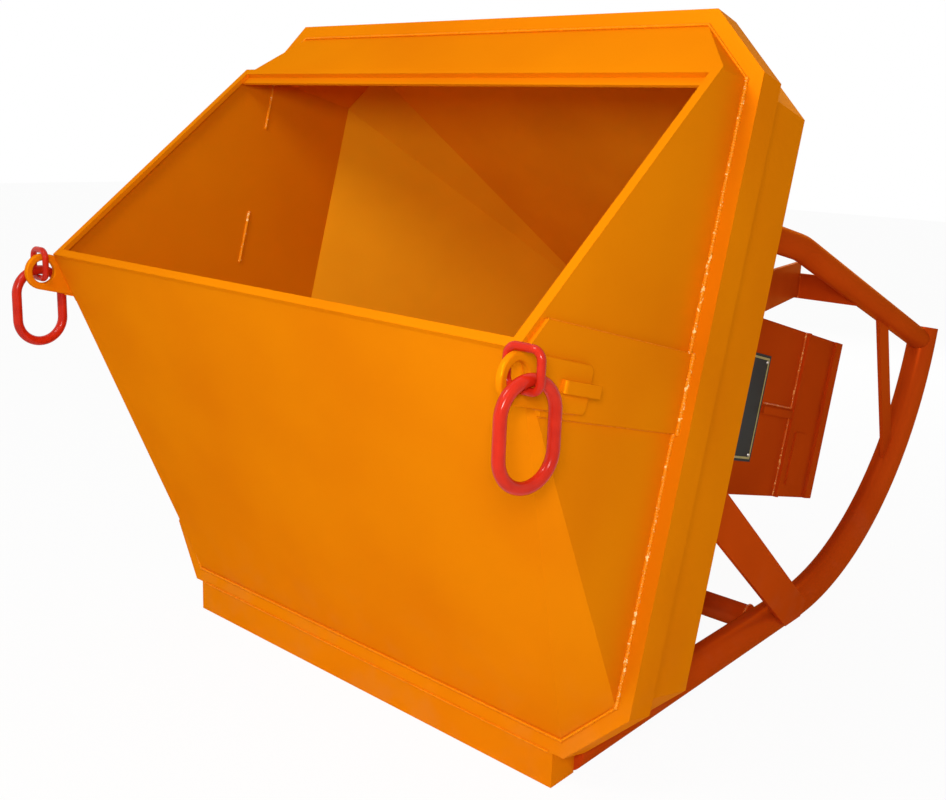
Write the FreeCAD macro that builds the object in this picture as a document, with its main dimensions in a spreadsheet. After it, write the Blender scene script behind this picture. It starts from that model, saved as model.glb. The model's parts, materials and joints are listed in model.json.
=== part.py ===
import FreeCAD, Part
import math
import os
import re

import Sketcher
from FreeCAD import Placement, Rotation, Vector

# Lay-down concrete silo: a steel tank with a wide sloped mouth in front, an octagonal flange band,
# a funnel behind it and a jaw gate inside a discharge casing. It lies on a sill and two bent rails,
# and hangs from two master rings. Millimetres, +Z up, +Y from the mouth towards the discharge,
# origin at the middle of the sill's underside.

SIZES = {
    # Stance: the tank leans forward by this angle, in degrees, round the sill's front top edge
    "lean_degrees": 14.4,
    # Sill under the flange
    "sill_length": 1074.0,
    "sill_height": 70.0,
    "sill_depth": 70.0,
    "sill_wall": 5.0,
    # Octagonal flange band, a folded channel
    "flange_width": 1350.0,
    "flange_height": 1370.0,
    "flange_corner": 114.0,
    "flange_depth": 70.0,
    "flange_lip": 31.0,
    "flange_wall": 5.0,
    # Tank sheet and the straight octagonal part behind the flange
    "sheet_wall": 5.0,
    "tank_depth": 253.0,
    # Mouth corners, measured from the flange's front face and bottom edge
    "mouth_front_reach": 473.0,
    "mouth_front_level": 703.0,
    "mouth_rear_reach": 76.0,
    "mouth_rear_level": 1233.0,
    "rim_width": 18.0,
    "rim_thickness": 10.0,
    # Strap doubler across each side plate
    "strap_low": 618.0,
    "strap_height": 141.0,
    "strap_thickness": 8.0,
    # Lifting lug on each strap: an eye plate with a round nose, and a stop bar on its face
    "lug_level": 668.0,
    "eye_thickness": 12.0,
    "eye_radius": 39.0,
    "eye_hole_diameter": 48.0,
    "eye_reach": 489.0,
    "eye_rear_reach": 307.0,
    "eye_rear_corner": 12.0,
    "eye_edge_round": 4.0,
    "stop_height": 20.0,
    "stop_thickness": 10.0,
    "stop_rear_reach": 288.0,
    "stop_front_reach": 386.0,
    # Link through the eye and over its upper rim, and master ring in the link
    "link_bar": 13.0,
    "link_height": 74.0,
    "link_reach": 497.0,
    "link_axis_level": 697.0,
    "link_room": 9.6,
    "ring_bar": 20.0,
    "ring_length": 176.0,
    "ring_width": 122.0,
    "right_ring_turn_degrees": 10.0,
    "ring_clearance": 1.0,
    # Funnel and its outlet
    "outlet_level": 680.0,
    "outlet_width": 400.0,
    "funnel_reach": 994.0,
    "neck_length": 230.0,
    # Discharge casing round the gate
    "casing_width": 676.0,
    "casing_height": 456.0,
    "casing_wall": 5.0,
    "casing_front_reach": 700.0,
    "casing_rear_reach": 1404.0,
    "casing_edge_width": 42.0,
    "casing_edge_thickness": 8.0,
    "casing_rib_depth": 12.0,
    "casing_rib_width": 12.0,
    "casing_rib_reach": 1165.0,
    "casing_bar_front_reach": 980.0,
    "casing_bar_height": 20.0,
    "cover_width": 78.0,
    "cover_height": 148.0,
    "cover_thickness": 4.0,
    "cover_reach": 1222.0,
    "cover_low": 487.0,
    # Gate jaws on two pairs of trunnions
    "gate_spacing": 160.0,
    "gate_pivot_setback": 130.0,
    "jaw_radius": 194.0,
    "core_overlap_degrees": 1.0,
    "jaw_wall": 6.0,
    "jaw_outer_degrees": 46.0,
    "cheek_thickness": 8.0,
    "gear_teeth": 16.0,
    "gear_backlash": 0.8,
    "hub_radius": 32.0,
    "trunnion_diameter": 30.0,
    "boss_diameter": 56.0,
    "boss_height": 12.0,
    "lever_length": 400.0,
    "lever_width": 50.0,
    "lever_thickness": 12.0,
    "lever_degrees": 145.0,
    "grip_diameter": 30.0,
    "grip_length": 130.0,
    # Rails
    "rail_inset": 156.0,
    "rail_diameter": 76.1,
    "rail_wall": 4.0,
    "rail_bend_start": 954.0,
    "rail_bend_radius": 755.0,
    "rail_bend_degrees": 79.5,
    "rail_cap_thickness": 5.0,
    "rail_closure": 15.0,
    # Top tubes, in the rails' planes
    "top_tube_diameter": 60.3,
    "top_tube_wall": 4.0,
    "top_tube_front": 640.0,
    "top_tube_front_level": 977.0,
    "top_tube_bend": 831.0,
    "top_tube_bend_level": 938.0,
    "top_tube_bend_radius": 300.0,
    "top_tube_slope_degrees": 20.3,
    # Flat bars of the frame
    "bar_thickness": 10.0,
    "cross_bar_height": 64.0,
    "cross_bar_place": 1186.0,
    "cross_bar_level": 804.0,
    "upright_width": 56.0,
    "upright_top": 1354.0,
    "upright_top_level": 753.0,
    "upright_foot": 1523.0,
    "upright_foot_level": 297.0,
    "stay_width": 92.0,
    "stay_bite": 2.0,
    "stay_end_level": 30.0,
    "stay_top": 428.0,
    "stay_top_level": 448.0,
    "stay_foot": 930.0,
    "stay_foot_level": 26.0,
    "diagonal_height": 88.0,
    "diagonal_half_spacing": 359.0,
    "diagonal_rear_level": 823.0,
    "diagonal_front": 640.0,
    "diagonal_front_level": 850.0,
    "foot_tube_diameter": 60.3,
    "foot_tube_wall": 4.0,
    "foot_tube_place": 815.0,
    # Clearances
    "seat_gap": 0.3,
    "running_gap": 0.05,
}

doc = FreeCAD.newDocument("LayDownConcreteSilo")
sheet = doc.addObject("Spreadsheet::Sheet", "Sizes")
for row, (alias, number) in enumerate(SIZES.items(), start=1):
    sheet.set("A%d" % row, alias)
    sheet.set("B%d" % row, str(number))
    sheet.setAlias("B%d" % row, alias)
doc.recompute()


def size(alias):
    """The sheet's value of one size."""
    return float(getattr(sheet, alias))


def bound(words):
    """An expression in plain size names, turned into one that reads the sheet."""
    return re.sub(r"\b[a-z]+(?:_[a-z]+)+\b", lambda found: "Sizes." + found.group(0), words)


def number(words):
    """The value of an expression in plain size names."""
    return float(sheet.evalExpression(bound(words)))


# Frames: the tank's own frame leans forward; its X is the row's X, its Y runs with the flow and its
# Z climbs the flange
LEAN = Rotation(Vector(1, 0, 0), -size("lean_degrees"))
TANK = Placement(Vector(0, -size("sill_depth") / 2, size("sill_height")), LEAN)
UPRIGHT = Placement()
SIDES = (("left", -1), ("right", 1))
pieces = []


def piece(item, label, place):
    """Names a finished object, places it and puts it on the list of pieces."""
    item.Label = label
    item.Placement = place
    pieces.append(item)
    return item


def solid_piece(shape, label, place=UPRIGHT):
    """A piece whose shape is set directly, for forms that neither sketches nor primitives give."""
    item = doc.addObject("Part::Feature", label)
    item.Shape = shape
    return piece(item, label, place * shape.Placement)


# Sketches and their features


def origin_plane(body, role):
    """One of a body's own origin planes."""
    return next(item for item in body.Origin.OriginFeatures if item.Role == role)


def new_sketch(body, role, offset="0"):
    """An empty sketch on an origin plane, moved along the plane's normal by an expression."""
    sketch = body.newObject("Sketcher::SketchObject", "Profile")
    sketch.AttachmentSupport = [(origin_plane(body, role), "")]
    sketch.MapMode = "FlatFace"
    if offset != "0":
        sketch.setExpression(".AttachmentOffset.Base.z", bound(offset))
    return sketch


def pin_point(sketch, geometry, end, across, up):
    """Ties one end of a sketch's line or arc to the sheet by two expressions."""
    for kind, words, axis in (("DistanceX", across, -2), ("DistanceY", up, -1)):
        if words == "0":
            sketch.addConstraint(Sketcher.Constraint("PointOnObject", geometry, end, axis))
        else:
            rule = Sketcher.Constraint(kind, -1, 1, geometry, end, number(words))
            sketch.setExpression("Constraints[%d]" % sketch.addConstraint(rule), bound(words))


def draw_outline(sketch, corners):
    """A closed outline of straight lines through corners given as pairs of expressions."""
    places = [Vector(number(across), number(up), 0) for across, up in corners]
    first = sketch.GeometryCount
    count = len(corners)
    for index in range(count):
        sketch.addGeometry(Part.LineSegment(places[index], places[(index + 1) % count]))
    for index in range(count):
        following = first + (index + 1) % count
        sketch.addConstraint(Sketcher.Constraint("Coincident", first + index, 2, following, 1))
    for index, (across, up) in enumerate(corners):
        pin_point(sketch, first + index, 1, across, up)


def draw_circle(sketch, across, up, diameter):
    """A circle whose centre and diameter are expressions."""
    centre = Vector(number(across), number(up), 0)
    index = sketch.addGeometry(Part.Circle(centre, Vector(0, 0, 1), number(diameter) / 2))
    pin_point(sketch, index, 3, across, up)
    rule = Sketcher.Constraint("Diameter", index, number(diameter))
    sketch.setExpression("Constraints[%d]" % sketch.addConstraint(rule), bound(diameter))


def pad(body, sketch, length, backwards=False, middle=False):
    """Pads a sketch by an expression."""
    feature = body.newObject("PartDesign::Pad", "Pad")
    feature.Profile = sketch
    feature.setExpression("Length", bound(length))
    feature.Reversed = backwards
    feature.Midplane = middle
    return feature


def along_flow(outlines, label, start, length, place=TANK):
    """A prism along Y from one outline and its holes, as a body in the tank's frame."""
    body = doc.addObject("PartDesign::Body", label)
    sketch = new_sketch(body, "XZ_Plane", "-(%s)" % start)
    for corners in outlines:
        draw_outline(sketch, corners)
    pad(body, sketch, length, backwards=True)
    return piece(body, label, place)


def octagon(inset):
    """The flange's octagon drawn in by an inset, as expressions."""
    if inset == "0":
        half, cut, low, high = "flange_width / 2", "flange_corner", "0", "flange_height"
    else:
        half = "flange_width / 2 - (%s)" % inset
        cut = "flange_corner - (%s) * (2 - sqrt(2))" % inset
        low, high = "%s" % inset, "flange_height - (%s)" % inset
    narrow, low_up, high_down = "%s - (%s)" % (half, cut), "%s + %s" % (low, cut), "%s - (%s)" % (high, cut)
    right = [(narrow, low), (half, low_up), (half, high_down), (narrow, high)]
    left = [("-(%s)" % across, up) for across, up in reversed(right)]
    return right + left


def rectangle(left, right, low, high):
    """A rectangle's corners as expressions."""
    return [(left, low), (right, low), (right, high), (left, high)]


# Sheet-metal hulls in the tank's frame


def polyhedron(faces):
    """A closed solid with flat faces, each a list of points."""
    flats = [Part.Face(Part.makePolygon(points + points[:1])) for points in faces]
    shape = Part.makeSolid(Part.makeShell(flats))
    if shape.Volume < 0:
        shape.reverse()
    return shape


def octagon_points(inset, reach):
    """The octagon's eight corners at a distance along the flow, from the bottom right round."""
    return [Vector(number(across), reach, number(up)) for across, up in octagon("%r" % inset)]


def sheet_layer(points, middle, wall):
    """A slab of the wall's thickness under a hull face, wider than the face, on the inner side."""
    centre = sum(points, Vector()) * (1 / len(points))
    normal = (points[1] - points[0]).cross(points[2] - points[0]).normalize()
    if normal.dot(middle - centre) < 0:
        normal = -normal
    wide = [centre + (point - centre) * OVERSIZE_SHARE for point in points]
    return Part.Face(Part.makePolygon(wide + wide[:1])).extrude(normal * wall)


def sheet_plates(hull, named_faces, wall):
    """Cuts a hull's wall into plates that meet edge to edge, each plate under its own name."""
    plates = {}
    taken = None
    middle = hull.CenterOfMass
    for name, points in named_faces:
        plate = sheet_layer(points, middle, wall).common(hull)
        if taken is not None:
            plate = plate.cut(taken)
        taken = plate if taken is None else taken.fuse(plate)
        plates[name] = plate.Solids[0] if len(plate.Solids) == 1 else plate
    return plates


OVERSIZE_SHARE = 1.6


def funnel_corners(swell):
    """The funnel's octagon and outlet corners, both swollen outwards by a distance."""
    wide = octagon_points(size("flange_lip") - swell, size("tank_depth"))
    half = size("outlet_width") / 2 + size("sheet_wall") + swell
    level = size("outlet_level")
    reach = size("funnel_reach")
    low_right = Vector(half, reach, level - half)
    high_right = Vector(half, reach, level + half)
    low_left = Vector(-half, reach, level - half)
    high_left = Vector(-half, reach, level + half)
    return wide, [low_right, low_right, high_right, high_right, high_left, high_left, low_left, low_left]


def funnel_faces(swell):
    """The funnel's eight sloping faces by name."""
    wide, narrow = funnel_corners(swell)
    names = ("lower_right", "right", "upper_right", "top", "upper_left", "left", "lower_left", "bottom")
    faces = []
    for index, name in enumerate(names):
        following = (index + 1) % len(names)
        corners = [wide[index], wide[following], narrow[following]]
        if narrow[following] != narrow[index]:
            corners.append(narrow[index])
        faces.append((name, corners))
    return faces


def funnel_hull(swell):
    """The funnel's outer form as one solid."""
    wide, narrow = funnel_corners(swell)
    return polyhedron([face for name, face in funnel_faces(swell)] + [wide, narrow[::2]])


def tank_envelope(swell):
    """Everything of the tank behind the flange, for coping what is welded to it."""
    ring = octagon_points(size("flange_lip") - swell, 0)
    octagon_face = Part.Face(Part.makePolygon(ring + ring[:1]))
    straight = octagon_face.extrude(Vector(0, size("tank_depth"), 0))
    band = octagon_points(-swell, 0)
    flange = Part.Face(Part.makePolygon(band + band[:1])).extrude(Vector(0, size("flange_depth") + swell, 0))
    return straight.fuse([funnel_hull(swell), flange]).removeSplitter()


# Flange, tank and sill


def make_flange():
    """The flange band: a channel folded round the tank, open towards the tank's shell."""
    body = doc.addObject("PartDesign::Body", "flange_band")
    outer = new_sketch(body, "XZ_Plane")
    draw_outline(outer, octagon("0"))
    draw_outline(outer, octagon("flange_lip"))
    pad(body, outer, "flange_depth", backwards=True)
    hollow = new_sketch(body, "XZ_Plane", "-flange_wall")
    draw_outline(hollow, octagon("flange_wall"))
    draw_outline(hollow, octagon("flange_lip"))
    pocket = body.newObject("PartDesign::Pocket", "Hollow")
    pocket.Profile = hollow
    pocket.setExpression("Length", bound("flange_depth - 2 * flange_wall"))
    pocket.Reversed = False
    piece(body, "flange_band", TANK)


def make_sill():
    """The sill: a box beam whose top leans with the flange that stands on it."""
    top = "sill_height - (%s) * tan(lean_degrees * 1 deg)"
    outer = [("-sill_depth / 2", "0"), ("sill_depth / 2", "0"), ("sill_depth / 2", top % "sill_depth"),
             ("-sill_depth / 2", "sill_height")]
    lid = top + " - sill_wall / cos(lean_degrees * 1 deg)"
    inner = [("-sill_depth / 2 + sill_wall", "sill_wall"), ("sill_depth / 2 - sill_wall", "sill_wall"),
             ("sill_depth / 2 - sill_wall", lid % "sill_depth - sill_wall"),
             ("-sill_depth / 2 + sill_wall", lid % "sill_wall")]
    beam = doc.addObject("PartDesign::Body", "sill_beam")
    section = new_sketch(beam, "YZ_Plane")
    draw_outline(section, outer)
    draw_outline(section, inner)
    pad(beam, section, "sill_length - 2 * sill_wall", middle=True)
    piece(beam, "sill_beam", UPRIGHT)
    for side, sign in SIDES:
        label = "sill_end_" + side
        plate = doc.addObject("PartDesign::Body", label)
        face = new_sketch(plate, "YZ_Plane", "%d * (sill_length / 2 - sill_wall)" % sign)
        draw_outline(face, outer)
        pad(plate, face, "sill_wall", backwards=sign < 0)
        piece(plate, label, UPRIGHT)


# Mouth in front of the flange


def mouth_points():
    """The mouth's four corners in the tank's frame: front left, front right, rear right, rear left."""
    half = size("flange_width") / 2 - size("flange_lip")
    front = Vector(half, -size("mouth_front_reach"), size("mouth_front_level"))
    rear = Vector(half, -size("mouth_rear_reach"), size("mouth_rear_level"))
    return [Vector(-half, front.y, front.z), front, rear, Vector(-half, rear.y, rear.z)]


def make_mouth():
    """The sloped hopper in front of the flange, cut into its plates."""
    ring = octagon_points(size("flange_lip"), 0)
    low_right, side_low_right, side_high_right, high_right = ring[:4]
    high_left, side_high_left, side_low_left, low_left = ring[4:]
    front_left, front_right, rear_right, rear_left = mouth_points()
    faces = [
        ("side_plate_left", [side_low_left, side_high_left, rear_left, front_left]),
        ("side_plate_right", [side_low_right, side_high_right, rear_right, front_right]),
        ("front_plate", [low_left, low_right, front_right, front_left]),
        ("top_plate", [high_left, high_right, rear_right, rear_left]),
        ("lower_corner_left", [low_left, side_low_left, front_left]),
        ("lower_corner_right", [low_right, side_low_right, front_right]),
        ("upper_corner_left", [high_left, side_high_left, rear_left]),
        ("upper_corner_right", [high_right, side_high_right, rear_right]),
    ]
    mouth = [front_left, front_right, rear_right, rear_left]
    hull = polyhedron([points for name, points in faces] + [ring, mouth])
    plates = sheet_plates(hull, faces, size("sheet_wall"))
    corners = [plates.pop("upper_corner_left"), plates.pop("upper_corner_right")]
    plates["top_plate"] = plates["top_plate"].fuse(corners).removeSplitter()
    for name, plate in plates.items():
        solid_piece(plate, name, TANK)


def make_rim():
    """The flat frame along the mouth's four edges, lying in the mouth's plane."""
    rear_right, front_right = mouth_points()[2], mouth_points()[1]
    slope = math.degrees(math.atan2(rear_right.z - front_right.z, rear_right.y - front_right.y))
    run = "sqrt((mouth_rear_level - mouth_front_level)^2 + (mouth_front_reach - mouth_rear_reach)^2)"
    half = "(flange_width / 2 - flange_lip)"
    rim = doc.addObject("PartDesign::Body", "mouth_rim")
    sketch = new_sketch(rim, "XY_Plane")
    draw_outline(sketch, rectangle("-" + half, half, "0", run))
    draw_outline(sketch, rectangle("-%s + rim_width" % half, half + " - rim_width",
                                   "rim_width", run + " - rim_width"))
    pad(rim, sketch, "rim_thickness")
    edge = Vector(0, front_right.y, front_right.z)
    piece(rim, "mouth_rim", TANK * Placement(edge, Rotation(Vector(1, 0, 0), slope)))


def make_tank():
    """The straight octagonal shell behind the flange's front face, and the funnel's plates."""
    along_flow([octagon("flange_lip"), octagon("flange_lip + sheet_wall")], "tank_shell", "0", "tank_depth")
    faces = dict(funnel_faces(0))
    order = ["left", "right", "top", "bottom", "upper_left", "upper_right", "lower_left", "lower_right"]
    plates = sheet_plates(funnel_hull(0), [(name, faces[name]) for name in order], size("sheet_wall"))
    for name in order:
        solid_piece(plates[name], "funnel_" + name, TANK)


# Lifting lugs


def make_strap(side, sign):
    """The doubler on a side plate, its front end sheared along the mouth and the front plate."""
    label = "strap_" + side
    high = "(strap_low + strap_height)"
    rim = ("-mouth_front_reach + (%s - mouth_front_level) * (mouth_front_reach - mouth_rear_reach)"
           " / (mouth_rear_level - mouth_front_level)" % high)
    fall = "(mouth_front_level - flange_lip - flange_corner + flange_lip * (2 - sqrt(2)))"
    keel = "-mouth_front_reach + (mouth_front_level - strap_low) * mouth_front_reach / " + fall
    outline = [("0", "strap_low"), ("0", high), (rim, high), ("-mouth_front_reach", "mouth_front_level"),
               (keel, "strap_low")]
    body = doc.addObject("PartDesign::Body", label)
    sketch = new_sketch(body, "YZ_Plane", "%d * (flange_width / 2 - flange_lip)" % sign)
    draw_outline(sketch, outline)
    pad(body, sketch, "strap_thickness", backwards=sign < 0)
    piece(body, label, TANK)


def frame_path(length, width, corner):
    """The centre line of a closed ring with rounded corners round the origin, in the YZ plane."""
    side, high = width / 2, length / 2
    diagonal = corner * (1 - math.sqrt(2) / 2)
    edges = []
    spots = []
    for right, up in ((1, -1), (1, 1), (-1, 1), (-1, -1)):
        beside = Vector(0, right * side, up * (high - corner))
        middle = Vector(0, right * (side - diagonal), up * (high - diagonal))
        above = Vector(0, right * (side - corner), up * high)
        spots.append((above, middle, beside) if right * up < 0 else (beside, middle, above))
    for index, (start, middle, finish) in enumerate(spots):
        edges.append(Part.Arc(start, middle, finish))
        following = spots[(index + 1) % len(spots)][0]
        if (following - finish).Length > size("running_gap"):
            edges.append(Part.LineSegment(finish, following))
    return edges


def round_bar(path, diameter):
    """A round bar along a chain of lines and arcs."""
    wire = Part.Wire([edge.toShape() for edge in path])
    start = wire.OrderedEdges[0]
    point = start.valueAt(start.FirstParameter)
    section = Part.Wire(Part.makeCircle(diameter / 2, point, start.tangentAt(start.FirstParameter)))
    return wire.makePipeShell([section], True, False)


def slab_on(face, sign, thickness, rear_reach, front_reach, low, height):
    """A flat bar lying outside a side face, from its front end to its rear end."""
    far = face + sign * thickness
    return box_between(Vector(min(face, far), -front_reach, low),
                       Vector(max(face, far), -rear_reach, low + height))


STOP_ROUND_SHARE = 0.6


def make_lug(side, sign):
    """Eye plate with its stop bar, link and master ring of one side."""
    outside = sign * (size("flange_width") / 2 - size("flange_lip") + size("strap_thickness"))
    middle, thick, radius = size("lug_level"), size("eye_thickness"), size("eye_radius")
    hole = size("eye_hole_diameter") / 2
    nose = Vector(min(outside, outside + sign * thick), -size("eye_reach"), middle)
    across = Vector(1, 0, 0)
    plate = slab_on(outside, sign, thick, size("eye_rear_reach"), size("eye_reach"), middle - radius,
                    2 * radius)
    rear = [edge for edge in plate.Edges if abs(edge.tangentAt(0).x) > 1 / 2
            and edge.CenterOfMass.y > -size("eye_rear_reach") - size("eye_rear_corner")]
    plate = plate.makeFillet(size("eye_rear_corner"), rear)
    plate = plate.fuse(Part.makeCylinder(radius, thick, nose, across)).removeSplitter()
    plate = plate.cut(Part.makeCylinder(hole, thick, nose, across))
    rims = [edge for edge in plate.Edges if hasattr(edge.Curve, "Radius")
            and abs(edge.Curve.Center.y - nose.y) < size("running_gap")]
    plate = plate.makeFillet(size("eye_edge_round"), rims)
    stop = slab_on(outside + sign * thick, sign, size("stop_thickness"), size("stop_rear_reach"),
                   size("stop_front_reach"), middle - size("stop_height") / 2, size("stop_height"))
    ends = [edge for edge in stop.Edges if abs(edge.tangentAt(0).z) > 1 / 2
            and (edge.CenterOfMass.x - outside) * sign > thick + size("stop_thickness") / 2]
    stop = stop.makeFillet(size("stop_thickness") * STOP_ROUND_SHARE, ends)
    solid_piece(plate.fuse(stop), "lifting_lug_" + side, TANK)
    turn = size("right_ring_turn_degrees") if sign > 0 else 0
    axis = Vector(outside + sign * thick / 2, -size("link_reach"), size("link_axis_level"))
    make_link(side, sign, TANK.multVec(axis), turn)


def make_link(side, sign, axis, degrees):
    """The link over the eye's upper rim and the master ring in the link's lower bow."""
    bar, ring_bar, room = size("link_bar"), size("ring_bar"), size("link_room")
    turn = math.radians(degrees)
    half_width = (size("ring_width") - ring_bar) / 2
    thickest = ring_bar / 2 / math.cos(turn)
    offset = size("eye_thickness") / 2 + thickest + size("ring_clearance") + half_width * math.tan(turn)
    inner_width = room + offset + thickest + bar / 2 * math.tan(turn) + size("ring_clearance")
    centre = Vector(axis.x + sign * (inner_width / 2 - room), axis.y,
                    axis.z + room + bar - size("link_height") / 2)
    path = frame_path(size("link_height") - bar, inner_width + bar, room + bar / 2)
    solid_piece(round_bar(path, bar), "link_" + side, Placement(centre, Rotation(Vector(0, 0, 1), 90)))
    top = centre.z - size("link_height") / 2 + bar + size("seat_gap") + ring_bar
    ring = round_bar(frame_path(size("ring_length") - ring_bar, 2 * half_width, half_width), ring_bar)
    place = Placement(Vector(axis.x + sign * offset, axis.y, top - size("ring_length") / 2),
                      Rotation(Vector(0, 0, 1), -degrees))
    solid_piece(ring, "master_ring_" + side, place)


# Outlet neck, casing and gate


def make_outlet():
    """The square neck behind the funnel."""
    half, thick = "outlet_width / 2", "(outlet_width / 2 + sheet_wall)"
    inner = rectangle("-" + half, half, "outlet_level - " + half, "outlet_level + " + half)
    outer = rectangle("-" + thick, thick, "outlet_level - " + thick, "outlet_level + " + thick)
    along_flow([outer, inner], "outlet_neck", "funnel_reach", "neck_length")


def coped(shape, tool, label, place):
    """A piece cut back by a tool given in the row's frame; the largest solid is kept."""
    tool = tool.copy()
    tool.Placement = place.inverse() * tool.Placement
    left_over = shape.cut(tool)
    return solid_piece(max(left_over.Solids, key=lambda item: item.Volume), label, place)


def in_row(shape, place):
    """A copy of a shape moved from its frame to the row's."""
    moved = shape.copy()
    moved.Placement = place * moved.Placement
    return moved


def box_between(low, high):
    """A box from its lowest to its highest corner."""
    return Part.makeBox(high.x - low.x, high.y - low.y, high.z - low.z, low)


def make_casing(envelope):
    """The discharge casing round the gate: four plates with ribs, an edge bar and a small cover."""
    half = size("casing_width") / 2
    wall = size("casing_wall")
    low = size("outlet_level") - size("casing_height") / 2
    high = low + size("casing_height")
    front, rear = size("casing_front_reach"), size("casing_rear_reach")
    bearing = size("trunnion_diameter") / 2 + size("running_gap")
    rise = size("boss_height")
    for label, bottom, outwards in (("casing_top", high - wall, 0), ("casing_bottom", low, rise)):
        plate = box_between(Vector(-half + wall, front, bottom), Vector(half - wall, rear, bottom + wall))
        for side, sign in SIDES:
            spot = gate_pivot(sign)
            spot.z = bottom - outwards
            plate = plate.fuse(Part.makeCylinder(size("boss_diameter") / 2, wall + rise, spot))
            plate = plate.cut(Part.makeCylinder(bearing, wall + rise, spot))
        coped(plate, envelope, label, TANK)
    for side, sign in SIDES:
        edge = size("casing_edge_width")
        plate = upright_slab(sign * half, -sign * wall, front, rear - front, low, high - low)
        band = upright_slab(sign * half, sign * size("casing_edge_thickness"), rear - edge, edge, low,
                            high - low)
        coped(plate.fuse(band), envelope, "casing_side_" + side, TANK)
        make_casing_rib(side, sign, sign * half, low, high)
    cover = upright_slab(half, size("cover_thickness"), size("cover_reach"), size("cover_width"),
                         size("cover_low"), size("cover_height"))
    solid_piece(cover, "casing_cover", TANK)


def upright_slab(face, thickness, start, length, bottom, height):
    """A slab on a side face, its thickness signed, from a place along the flow."""
    low = Vector(min(face, face + thickness), start, bottom)
    return Part.makeBox(abs(thickness), length, height, low)


def make_casing_rib(side, sign, face, low, high):
    """The T-shaped stiffener of flat bar on one casing side plate."""
    rib, depth = size("casing_rib_width"), size("casing_rib_depth")
    start = size("casing_bar_front_reach")
    upright = upright_slab(face, sign * depth, size("casing_rib_reach") - rib / 2, rib, low, high - low)
    level = upright_slab(face, sign * depth * BAR_DEPTH_SHARE, start, size("casing_rib_reach") - start,
                         (low + high) / 2 - size("casing_bar_height") / 2, size("casing_bar_height"))
    solid_piece(upright.fuse(level), "casing_rib_" + side, TANK)


BAR_DEPTH_SHARE = 0.8


def gate_pivot(sign):
    """A gate pivot's place in the tank's frame, at the outlet's level."""
    reach = size("funnel_reach") + size("neck_length") - size("gate_pivot_setback")
    return Vector(sign * size("gate_spacing") / 2, reach, size("outlet_level"))


def polar(radius, degrees):
    """A point in the XY plane, by its angle from +X towards +Y."""
    return Vector(radius * math.cos(math.radians(degrees)), radius * math.sin(math.radians(degrees)), 0)


def gear_tooth(direction):
    """One involute tooth as a flat face, its flanks drawn as arcs through the true curve."""
    pitch = size("gate_spacing") / 2
    teeth = size("gear_teeth")
    module = 2 * pitch / teeth
    pressure = math.radians(PRESSURE_DEGREES)
    base = pitch * math.cos(pressure)
    root, tip = pitch - ROOT_SHARE * module, pitch + TIP_SHARE * module
    half_pitch = math.pi / (2 * teeth) - size("gear_backlash") / (2 * pitch)

    def half_angle(radius):
        roll = math.acos(min(1, base / radius))
        return math.degrees(half_pitch + math.tan(pressure) - pressure - math.tan(roll) + roll)

    def flank(sign):
        spots = [polar(radius, direction + sign * half_angle(radius)) for radius in (base, pitch, tip)]
        return spots, polar(root * ROOT_OVERLAP_SHARE, direction + sign * half_angle(base))

    low_spots, low_root = flank(-1)
    high_spots, high_root = flank(1)
    edges = [Part.LineSegment(low_root, low_spots[0]), Part.Arc(*low_spots),
             Part.LineSegment(low_spots[2], high_spots[2]), Part.Arc(*reversed(high_spots)),
             Part.LineSegment(high_spots[0], high_root), Part.LineSegment(high_root, low_root)]
    return Part.Face(Part.Wire([edge.toShape() for edge in edges]))


PRESSURE_DEGREES = 20
ROOT_SHARE = 1.25
TIP_SHARE = 1.0
ROOT_OVERLAP_SHARE = 0.96
TOOTH_REACH_SHARES = (1.5, 4.5)


def sector(radius, start, finish):
    """A flat sector of a disc between two angles."""
    begin, end = polar(radius, start), polar(radius, finish)
    middle = polar(radius, (start + finish) / 2)
    edges = [Part.LineSegment(Vector(), begin), Part.Arc(begin, middle, end), Part.LineSegment(end, Vector())]
    return Part.Face(Part.Wire([edge.toShape() for edge in edges]))


def jaw_angles(sign):
    """The inner and outer edge directions of a jaw as seen from its pivot."""
    reach = size("jaw_radius") + size("jaw_wall")
    inner_lean = math.degrees(math.asin((size("gate_spacing") - size("seat_gap")) / 2 / reach))
    return 90 + sign * inner_lean, 90 - sign * size("jaw_outer_degrees")


def cheek_face(sign):
    """The outline of a cheek round its pivot: hub, fan and toothed segment."""
    inner, outer = jaw_angles(sign)
    pitch = size("gate_spacing") / 2
    teeth = int(size("gear_teeth"))
    step = 360 / teeth
    module = 2 * pitch / teeth
    root = pitch - ROOT_SHARE * module
    towards = 180 if sign > 0 else 0
    fan = sector(size("jaw_radius") + size("jaw_wall"), min(inner, outer), max(inner, outer))
    offset = step / 2 if sign > 0 else 0
    ahead, behind = TOOTH_REACH_SHARES
    turns = [index * step + offset for index in range(-teeth, teeth)]
    turns = [turn for turn in turns if -behind * step <= turn <= ahead * step]
    directions = [towards - turn if sign > 0 else towards + turn for turn in turns]
    first, last = min(directions) - step / 2, max(directions) + step / 2
    face = fan.fuse(sector(root, first, last))
    face = face.fuse(Part.Face(Part.Wire(Part.makeCircle(size("hub_radius")))))
    for direction in directions:
        face = face.fuse(gear_tooth(direction))
    return face.removeSplitter()


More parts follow.
